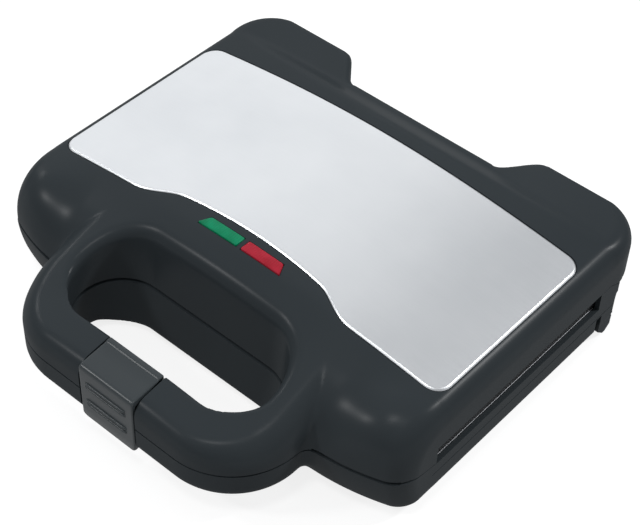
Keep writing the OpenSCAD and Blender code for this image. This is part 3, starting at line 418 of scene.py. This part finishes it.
def metal(name, base, rough=(0.3, 0.45)):
    nt, shader = material(name, base, metal=1.0)
    f = noise(nt, coords(nt), 400.0)
    colour(nt, shader, f, 0.2, tuple(0.85 * c for c in base), 0.8, base)
    roughness(nt, shader, f, *rough)
    bump(nt, shader, f, 0.08, 0.0002)


def brushed_steel(name, flat, dark, light):
    """Fine lines along the plate, over soft clouds; flat is for viewers that show no textures."""
    nt, shader = material(name, flat, 0.3, 1.0)
    lines = noise(nt, coords(nt, (1, 70, 1)), 60.0, 5.0, 0.7)
    mix = nt.nodes.new("ShaderNodeMath")
    mix.operation = "MULTIPLY_ADD"
    mix.inputs[1].default_value = 0.3
    nt.links.new(lines, mix.inputs[0])
    nt.links.new(noise(nt, coords(nt), 8.0, 4.0, 0.6), mix.inputs[2])
    colour(nt, shader, mix.outputs[0], 0.4, dark, 0.9, light)
    roughness(nt, shader, lines, 0.3, 0.42)
    bump(nt, shader, lines, 0.06, 0.0002)


def ribbed_lens(name, deep, light):
    nt, shader = material(name, deep, 0.3, spec=0.12)
    v = coords(nt)
    ribs = nt.nodes.new("ShaderNodeTexWave")
    ribs.inputs["Scale"].default_value = 260.0
    ribs.inputs["Distortion"].default_value = 0.3
    nt.links.new(v, ribs.inputs["Vector"])
    colour(nt, shader, noise(nt, v, 120.0, 2.0), 0.3, deep, 0.75, light)
    bump(nt, shader, ribs.outputs["Fac"], 0.12, 0.0004)


# name, two colours that it varies between, range of roughness, then grain where it isn't the usual
plastic("body_plastic", (0.024, 0.029, 0.0325), (0.027, 0.0325, 0.036), (0.28, 0.34), spec=0.0, coat=0.13)
plastic("latch_plastic", (0.032, 0.038, 0.0415), (0.035, 0.042, 0.0455), (0.3, 0.36), spec=0.0, coat=0.48)
plastic("frame_plastic", (0.012, 0.013, 0.014), (0.016, 0.017, 0.018), (0.34, 0.46), spec=0.4)
brushed_steel("trim_steel", (0.8, 0.81, 0.83), (0.64, 0.66, 0.68), (0.75, 0.765, 0.78))
ribbed_lens("green_lens", (0.0, 0.12, 0.05), (0.0, 0.2, 0.09))
ribbed_lens("red_lens", (0.25, 0.008, 0.018), (0.36, 0.016, 0.034))
plastic("neon_glass", (0.8, 0.55, 0.4), (0.85, 0.6, 0.45), (0.1, 0.15))
plastic("holder_plastic", (0.6, 0.58, 0.53), (0.66, 0.64, 0.6))
plastic("non_stick", (0.016, 0.016, 0.017), (0.024, 0.024, 0.025), (0.3, 0.5), 0.12)
metal("element_metal", (0.3, 0.25, 0.22), (0.4, 0.6))
metal("plated_steel", (0.62, 0.62, 0.64))
metal("slot_steel", (0.2, 0.205, 0.215), (0.45, 0.55))
metal("shield_aluminium", (0.74, 0.75, 0.77))
metal("screw_steel", (0.55, 0.55, 0.57))
plastic("red_wire", (0.5, 0.03, 0.02), (0.55, 0.04, 0.03))
plastic("blue_wire", (0.03, 0.07, 0.35), (0.04, 0.09, 0.4))
plastic("ceramic", (0.7, 0.67, 0.6), (0.75, 0.72, 0.66), (0.3, 0.4))
plastic("terminal_plastic", (0.75, 0.74, 0.7), (0.8, 0.79, 0.76))
plastic("rubber", (0.014, 0.014, 0.014), (0.02, 0.02, 0.02), (0.6, 0.75), 0.1)
metal("arm_aluminium", (0.4, 0.41, 0.43), (0.4, 0.55))


def dress(ob, slot, body, *nodes, look=None):
    """Gives a piece its material, named by the slot unless look names another, and its body, and hides the
    CAD nodes that it is shown for.
    """
    ob.data.materials.clear()
    ob.data.materials.append(MAT[look or slot])
    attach(ob, body)
    if nodes:
        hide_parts(*nodes)


# the CAD nodes wear the same materials
for part in frame["record"]["subparts"]:
    cad_node, look = frame["nodes"][part["node"]], MAT[part["material_slot"]]
    for held in cad_node.material_slots:
        held.material = look
    if not cad_node.material_slots:
        cad_node.data.materials.append(look)


# ---------------------------------------------------------------- forms that both shells share
def shell(name, outer, lo, hi, side, level):
    """Hollow shell whose outer face is the zero surface of outer; side is 1 above level and -1 below it."""
    def capped(offset, past):
        return lambda x, y, z: np.maximum(outer(x, y, z) + offset, side * (level - side * past - z))
    ob = new_object(name, *surface_net(capped(0.0, 0.0), lo, hi, GRID))
    boolean(ob, new_object("core", *surface_net(capped(WALL, 2.0), lo, hi, 2 * GRID)))
    return ob


def lug_arc(grow):
    """Round of the lugs below the axis, from the slot's top down to the lugs' lowest line."""
    turn = math.acos((AXIS_Z - SLOT_TOP) / LUG_R)
    steps = [turn * (1 - i / 12) for i in range(13)]
    r = LUG_R + grow
    return [(AXIS_Y - r * math.sin(a), AXIS_Z - r * math.cos(a)) for a in steps]


def side_ramp(outline, s):
    """Cutter at the front end of the slot on side s."""
    return prism("ramp", outline, s * (HALF_W + 1) - 5, s * (HALF_W + 1) + 5, "x")


def latch_levels():
    """Heights of the latch's top at its rear and at its front, and of its pin."""
    top = float(top_z(0.0, LATCH_Y + LATCH_TOP_REAR))
    return top, float(top_z(0.0, LATCH_Y + LATCH_TOP_FRONT)) + 0.4, top - PIN_DROP


def latch_seat():
    """Cutter for the latch's place on the handle, with room to swing."""
    room, y, rear = 0.8, LATCH_Y, LATCH_Y + 24.5
    _, face, pin_z = latch_levels()
    r = PIN_DROP - 2.6 - room
    outline = [(rear, pin_z - 1.6), (PIN_Y + 5, pin_z - 1.6), (PIN_Y + 0.57 * r, pin_z + 0.82 * r),
               (PIN_Y, pin_z + r), (y + 3.4, face - 4.0), (y + 3.4, 17), (y + 5.0, 16.4), (y + 5.0, 0),
               (y - 5, 0), (y - 5, DECK), (rear, DECK)]
    return prism("seat", outline, -LATCH_HALF - room, LATCH_HALF + room, "x")


def joint_grooves():
    """Cutters for the dark joint: a ring round the finger hole and a strip along the body's front."""
    z0, z1 = PART_Z - 1, PART_Z + 1
    arc = circle(0, 0, HOLE_R + 1.7, range(0, 91, 5))
    ring = []
    for s, t in ((1, 1), (-1, 1), (-1, -1), (1, -1)):
        quarter = [(s * (HOLE_X + px), HOLE_Y + t * py) for px, py in arc]
        ring += quarter if s == t else quarter[::-1]
    cutters = [prism("ring", ring, z0, z1)]
    corner_r, corner_x = 8.0, HALF_W - 8.0
    xs = [HANDLE_HALF + 3 + 38.5 * i / 20 for i in range(21)]
    for s in (-1, 1):
        inner = [(s * x, float(bow_y(x)) + round_in(corner_r, x - corner_x) + 1.0) for x in xs]
        outer = [(s * x, float(bow_y(x)) - 3.0) for x in xs[::-1]]
        cutters.append(prism("strip", inner + outer, z0, z1))
    return cutters


# ---------------------------------------------------------------- steel plate and lenses
def hump(x):
    """How far the plate's front edge stands back in the middle, round the lenses."""
    return (11.4 - x * x / 616.0) * (1 - ease(40, 65, abs(x)))


def trim_outline(grow):
    """Outline of the steel plate, grown."""
    n = 120
    w, r = PLATE_W / 2 + grow, PLATE_R + grow
    y_front, y_rear = PLATE_FRONT - grow + r, PLATE_REAR + grow - r
    edge = [(w - r) * (2 * i / n - 1) for i in range(n + 1)]
    pts = [(x, PLATE_FRONT - grow + float(hump(x))) for x in edge]
    pts += circle(w - r, y_front, r, range(-81, 1, 9))
    pts += circle(w - r, y_rear, r, range(0, 91, 9))
    pts += [(-x, PLATE_REAR + grow) for x in edge[2:-2:2]]
    pts += circle(-w + r, y_rear, r, range(90, 181, 9))
    return pts + circle(-w + r, y_front, r, range(180, 262, 9))


def lens_outline(side, grow):
    """Outline of one lens, grown, with its slanting outer end."""
    y0, y1 = PLATE_FRONT + LENS_GAP - grow, PLATE_FRONT + LENS_GAP + LENS_D + grow
    inner, outer = LENS_IN - grow, LENS_OUT + grow
    return [(side * inner, y0), (side * outer, y0), (side * (outer - LENS_SLANT), y1), (side * inner, y1)]


def plate_columns(grow):
    """Columns (x, front y, rear y) of the steel plate's outline, grown."""
    w, r = PLATE_W / 2 + grow, PLATE_R + grow
    half = [(w - r) * k / 70 for k in range(70)]
    half += [w - r + r * math.sin(math.radians(a)) for a in range(0, 91, 9)]
    cols = []
    for x in [-v for v in half[:0:-1]] + half:
        lift = round_in(r, abs(x) - (w - r))
        cols.append((x, PLATE_FRONT - grow + float(hump(x)) + lift, PLATE_REAR + grow - lift))
    return cols


def lens_columns(side):
    """Columns of one lens's rounded outline, as a function of how far it is grown."""
    corner, blend, tip = 0.7, 0.9, 0.35

    def columns(grow):
        lo, hi = LENS_IN - grow, LENS_OUT + grow
        y0, y1 = PLATE_FRONT + LENS_GAP - grow, PLATE_FRONT + LENS_GAP + LENS_D + grow
        xs = [lo + corner * (1 - math.cos(math.radians(a))) for a in range(0, 91, 18)]
        xs += [lo + corner + (hi - LENS_SLANT - lo - 2 * corner) * k / 12 for k in range(1, 13)]
        xs += [hi - LENS_SLANT - corner + (LENS_SLANT + corner - 0.06) * k / 14 for k in range(1, 15)]
        out = []
        for x in xs:
            near, far = round_in(corner, lo + corner - x), round_in(corner, x - hi + corner)
            slant = y0 + (hi - x) * (y1 - y0) / LENS_SLANT
            rear = y1 - near if slant > y1 + blend else min(y1, slant)
            if abs(slant - y1) < 2 * blend:
                rear = min(y1, slant) - (2 * blend - abs(slant - y1)) ** 2 / (16 * blend)
            front = y0 + near + min(far, tip)
            out.append((side * x, front, max(rear, front + 0.02)))
        return out if side > 0 else out[::-1]
    return columns


def crown_plate(name, columns, rings):
    """Sheet along the crown: rings are (growth, height over the crown) from the underside to the top."""
    verts, faces = [], []
    for grow, h in rings:
        cols = columns(grow)
        n = len(cols)
        verts += [(x, yf, DECK + float(crown(x)) + h) for x, yf, _ in cols]
        verts += [(x, yr, DECK + float(crown(x)) + h) for x, _, yr in cols[::-1]]
    m = 2 * n
    for k in range(len(rings) - 1):
        low, high = k * m, (k + 1) * m
        faces += [[low + i, low + (i + 1) % m, high + (i + 1) % m, high + i] for i in range(m)]
    top = (len(rings) - 1) * m
    for i in range(n - 1):
        faces.append([top + i, top + i + 1, top + m - 2 - i, top + m - 1 - i])
        faces.append([m - 1 - i, m - 2 - i, i + 1, i])
    return new_object(name, verts, faces)


def trim_recess():
    """Cutter for the plate's place: its outline with a gap, down to just below the crown."""
    recess = prism("recess", trim_outline(0.5), DECK - 20, DECK + 40)
    xs = np.linspace(-HALF_W, HALF_W, 97)
    below = [(x, DECK + float(crown(x)) - 0.7) for x in xs]
    above = [(x, DECK + float(crown(x)) + 6.0) for x in xs[::-1]]
    boolean(recess, prism("slab", below + above, PLATE_FRONT - 20, PLATE_REAR + 12, "y"), "INTERSECT")
    return recess


def trim_plate():
    """Steel plate with a bright rolled edge."""
    ob = crown_plate("trim_plate_skin", plate_columns,
                     [(0.0, -0.7), (0.0, -0.22), (-0.07, -0.12), (-0.78, 0.4), (-0.92, 0.45), (-1.3, 0.46)])
    smooth(ob, 25)
    dress(ob, "trim_steel", "lid", "trim_plate")


def lens(side, slot):
    """Lens in the lid's window on one side of the middle."""
    ob = crown_plate(slot + "_skin", lens_columns(side),
                     [(0.0, -1.6), (0.0, -0.25), (-0.1, 0.0), (-0.3, 0.12), (-0.55, 0.16)])
    smooth(ob, 50)
    dress(ob, slot, "lid", slot)


# ---------------------------------------------------------------- lid shell
def lid_shell():
    """Lid: open below, with its side slots, joint, hinge slots, latch seat, plate recess and windows."""
    ob = shell("lid_shell_skin", lid_outer, (-125, -118, 14), (125, 119, 70), 1, 22)
    joint = PART_Z + LIP
    below = [(-FAR, 0), (-FAR, joint), (SLOT_Y, joint), (SLOT_Y, SLOT_TOP)]
    below += lug_arc(0.0) + [(FAR, LID_EDGE), (FAR, 0)]
    low = prism("low", below, -PAST, PAST, "x")
    ramp_y = SLOT_Y - SLOT_RAMP
    for s in (-1, 1):
        boolean(low, side_ramp([(ramp_y, PART_Z), (ramp_y + 0.1, PART_Z + 2), (SLOT_Y, PART_Z + 2),
                                (SLOT_Y, SIDE_TOP + PART_GAP)], s))
    boolean(ob, low)
    for groove in joint_grooves():
        boolean(ob, groove)
    for s in (-1, 1):
        boolean(ob, box((s * LUG_SLOT_X - LUG_SLOT_HALF, BASE_REAR - 14, 20),
                        (s * LUG_SLOT_X + LUG_SLOT_HALF, FAR, AXIS_Z + 4)))
    boolean(ob, latch_seat())
    boolean(ob, trim_recess())
    for s in (-1, 1):
        boolean(ob, prism("window", lens_outline(s, 0.25), DECK - 6, DECK + 30))
    smooth(ob)
    dress(ob, "body_plastic", "lid", "lid_shell")


# ---------------------------------------------------------------- latch
def latch_profile(top, face):
    """Section of the clip across x: from its rear over the front, round the tooth and back inside."""
    y, low, r = LATCH_Y, LATCH_LOW, 2.6
    bend = [(y + r - px, face - r + pz) for pz, px in circle(0, 0, r, range(0, 91, 15))]
    crest = [(19.3, 0.0), (19.1, 0.25), (16.9, 0.35), (16.5, 0.2), (16.2, -0.1), (15.8, -0.25)]
    tooth = [(0.0, 6.0), (0.0, 1.4), (0.4, 0.45), (1.2, 0.0), (2.2, 0.0), (2.6, 0.3), (3.0, 2.2), (3.0, 4.6),
             (2.6, 5.2)]
    profile = [(y + a, top + b) for a, b in crest] + [(y + 9.5, (top + face) / 2 - 0.1)]
    profile += bend + [(y, face - 10)] + [(y + a, low + b) for a, b in tooth]
    return profile + [(y + 2.6, face - 3.2), (y + 6.0, face - 2.7), (y + crest[0][0], top - 2.5)]


def latch_body(profile):
    """The clip's section drawn along x, rounded at both ends and at its lower corners."""
    edge_r, corner_r = 0.7, 2.8
    ends = [0.0, 0.12, 0.35, 0.7, 1.2, 1.8, 2.6, 5.0]
    n = len(profile)
    rings = []
    for x in [-LATCH_HALF + e for e in ends] + [0.0] + [LATCH_HALF - e for e in ends[::-1]]:
        past = LATCH_HALF - abs(x)
        inset, lift = round_in(edge_r, edge_r - past), round_in(corner_r, corner_r - past)
        ring = []
        for i, (py, pz) in enumerate(profile):
            before, after = profile[i - 1], profile[(i + 1) % n]
            ty, tz = after[0] - before[0], after[1] - before[1]
            k = inset / math.hypot(ty, tz)
            raise_by = lift * min(1.0, max(0.0, (LATCH_LOW + 6 - pz) / 5))
            ring.append((x, py - tz * k, pz + ty * k + raise_by))
        rings.append(ring)
    return tube("latch_skin", rings)


def grip_ridge(z):
    """Rod along the clip's front that thins out at both ends."""
    x0, x1 = -LATCH_HALF + 3.6, LATCH_HALF - 4.4
    taper = ((0.0, 0.15), (0.3, 0.55), (1.2, 0.9), (3.0, 1.0))
    stations = [(x0 + d, k) for d, k in taper] + [(x1 - d, k) for d, k in taper[::-1]]
    turns = [2 * math.pi * i / 12 for i in range(12)]
    return tube("ridge", [[(x, LATCH_Y - 0.9 * k * math.cos(a), z + 0.72 * math.sin(a)) for a in turns]
                          for x, k in stations])


def latch():
    """Clip with two pairs of grip ridges, and an ear at each end for its pin."""
    top, face, pin_z = latch_levels()
    ob = latch_body(latch_profile(top, face))
    for drop in (9.0, 11.4, 20.0, 22.4):
        boolean(ob, grip_ridge(face - drop), "UNION")
    ear_r, ear_top, ear_t = 3.1, pin_z + 4.6, 4.0
    ear = circle(PIN_Y, pin_z, ear_r, range(180, 361, 15))
    ear = [(PIN_Y - ear_r, ear_top)] + ear + [(PIN_Y + ear_r, ear_top)]
    for x0 in (-LATCH_HALF + 0.6, LATCH_HALF - 0.6 - ear_t):
        boolean(ob, prism("ear", ear, x0, x0 + ear_t, "x"), "UNION")
    boolean(ob, prism("bore", circle(PIN_Y, pin_z, PIN_R, range(0, 360, 15)), -PAST, PAST, "x"))
    smooth(ob, 38)
    dress(ob, "latch_plastic", "latch", "latch")


# ---------------------------------------------------------------- base shell
def base_shell():
    """Base: open above, with its raised sides, joint, latch seat and rear feet."""
    ob = shell("base_shell_skin", base_outer, (-125, -118, 0), (125, 101, 44), -1, 37)
    joint = PART_Z - PART_GAP - LIP
    above = [(-FAR, 60), (-FAR, joint), (SLOT_Y, joint), (SLOT_Y, SIDE_TOP), (SLOT_REAR, SIDE_TOP),
             (SLOT_REAR, SLOT_TOP - PART_GAP)]
    above += lug_arc(PART_GAP) + [(FAR, LID_EDGE - PART_GAP), (FAR, 60)]
    boolean(ob, prism("high", above, -PAST, PAST, "x"))
    for s in (-1, 1):
        boolean(ob, side_ramp([(SLOT_Y - SLOT_RAMP, joint), (SLOT_Y + 0.1, joint + 2),
                               (SLOT_Y + 0.1, SIDE_TOP)], s))
    boolean(ob, latch_seat())
    for groove in joint_grooves():
        boolean(ob, groove)
    foot = [(13.5, 10), (13, 6.5), (7.6, 1.8), (5.6, 1.8), (2.3, 4.5), (2.1, 10)]
    foot = [(BASE_REAR - d, z) for d, z in foot]
    for s in (-1, 1):
        x = s * FOOT_X
        boolean(ob, prism("foot", foot, x - FOOT_HALF, x + FOOT_HALF, "x"), "UNION")
        # the fine line, and the nick in front of the foot
        x = s * (HALF_W + 1.5)
        boolean(ob, box((x - 2, SLOT_Y - 2, STEP_Z), (x + 2, BASE_REAR - 3, STEP_Z + 0.5)))
        x = s * (HALF_W + 1.1)
        boolean(ob, box((x - 3, BASE_REAR - 16.2, 2.0), (x + 3, BASE_REAR - 12.2, 17.4)))
    smooth(ob)
    dress(ob, "body_plastic", "base", "base_shell")


def slot_rim(side, name):
    """Thin bright edge of the lower plate's surround, seen through the side slot."""
    ring = circle(0, 0, 0.3, range(0, 360, 30))
    ob = prism(name, [(side * (HALF_W - 2.85 - px), SIDE_TOP + 0.05 + pz) for px, pz in ring],
               SLOT_Y + 2.0, SLOT_REAR - 0.6, "y")
    smooth(ob)
    dress(ob, "plated_steel", "base", look="slot_steel")


lid_shell()
trim_plate()
lens(-1, "green_lens")
lens(1, "red_lens")
latch()
base_shell()
slot_rim(-1, "slot_rim_left")
slot_rim(1, "slot_rim_right")


# ---------------------------------------------------------------- camera, floor and light
def camera(place, azimuth, elevation, roll, lens_mm):
    """Camera with the photograph's view: azimuth counts from the front, elevation from the floor."""
    az, el, turn = math.radians(azimuth), math.radians(elevation), math.radians(roll)
    back = Vector((math.sin(az) * math.cos(el), -math.cos(az) * math.cos(el), math.sin(el)))
    level = Vector((math.cos(az), math.sin(az), 0))
    upright = back.cross(level)
    cx = math.cos(turn) * level + math.sin(turn) * upright
    cy = math.cos(turn) * upright - math.sin(turn) * level
    cam = bpy.data.cameras.new("camera")
    cam.lens = lens_mm
    cam.sensor_width = 36.0
    cam.clip_start, cam.clip_end = 0.01, 50.0
    ob = bpy.data.objects.new("camera", cam)
    ob.matrix_world = Matrix(((cx.x, cy.x, back.x, place[0]), (cx.y, cy.y, back.y, place[1]),
                              (cx.z, cy.z, back.z, place[2]), (0, 0, 0, 1)))
    bpy.context.scene.collection.objects.link(ob)
    bpy.context.scene.camera = ob


def floor_material():
    """Pale floor, white to the camera, to mirrors and to glass, less the object's shadow."""
    nt, shader = material("floor", (0.4, 0.4, 0.4), 0.9, spec=0.0)
    colour(nt, shader, noise(nt, coords(nt), 3.0, 2.0), 0.2, (0.4, 0.4, 0.4), 0.8, (0.41, 0.41, 0.41))
    emit = nt.nodes.new("ShaderNodeEmission")
    emit.inputs["Color"].default_value = (1, 1, 1, 1)
    emit.inputs["Strength"].default_value = 0.82
    shaded = nt.nodes.new("ShaderNodeBsdfDiffuse")
    shaded.inputs["Color"].default_value = (0.24, 0.24, 0.24, 1)
    white = nt.nodes.new("ShaderNodeAddShader")
    nt.links.new(emit.outputs["Emission"], white.inputs[0])
    nt.links.new(shaded.outputs["BSDF"], white.inputs[1])
    path = nt.nodes.new("ShaderNodeLightPath")
    seen = path.outputs["Is Camera Ray"]
    for ray in ("Is Glossy Ray", "Is Transmission Ray"):
        either = nt.nodes.new("ShaderNodeMath")
        either.operation = "MAXIMUM"
        nt.links.new(seen, either.inputs[0])
        nt.links.new(path.outputs[ray], either.inputs[1])
        seen = either.outputs[0]
    mix = nt.nodes.new("ShaderNodeMixShader")
    nt.links.new(seen, mix.inputs["Fac"])
    nt.links.new(shader.outputs["BSDF"], mix.inputs[1])
    nt.links.new(white.outputs["Shader"], mix.inputs[2])
    nt.links.new(mix.outputs["Shader"], nt.nodes["Material Output"].inputs["Surface"])


def lamp(name, place, size, power):
    """Square soft lamp aimed at the toaster."""
    light = bpy.data.lights.new(name, "AREA")
    light.energy = power
    light.size = size
    ob = bpy.data.objects.new(name, light)
    ob.location = place
    ob.rotation_euler = (Vector((0, 0, 0.03)) - Vector(place)).to_track_quat("-Z", "Y").to_euler()
    bpy.context.scene.collection.objects.link(ob)


camera((0.348590, -0.397061, 0.569918), azimuth=39.61, elevation=45.49, roll=2.39, lens_mm=92.321)

REACH = 4000.0
floor = new_object("floor", [(-REACH, -REACH, 0), (REACH, -REACH, 0), (REACH, REACH, 0), (-REACH, REACH, 0)],
                   [[0, 1, 2, 3]])
floor_material()
floor.data.materials.append(MAT["floor"])

world = bpy.data.worlds.new("world")
bpy.context.scene.world = world
world.use_nodes = True
sky = world.node_tree.nodes["Background"]
sky.inputs["Color"].default_value = (0.95, 0.97, 1.0, 1)
sky.inputs["Strength"].default_value = 0.45
lamp("key", (-0.99, 0.75, 0.84), 1.5, 5.2)
lamp("top", (0.1, -0.5, 1.4), 0.3, 5.0)
lamp("front", (-0.75, -0.95, 1.0), 0.18, 6.0)
lamp("rim", (0.75, 0.85, 1.05), 0.16, 12.0)
lamp("side", (-1.3, -0.1, 0.85), 0.2, 2.5)
bpy.context.scene.view_settings.view_transform = "Standard"
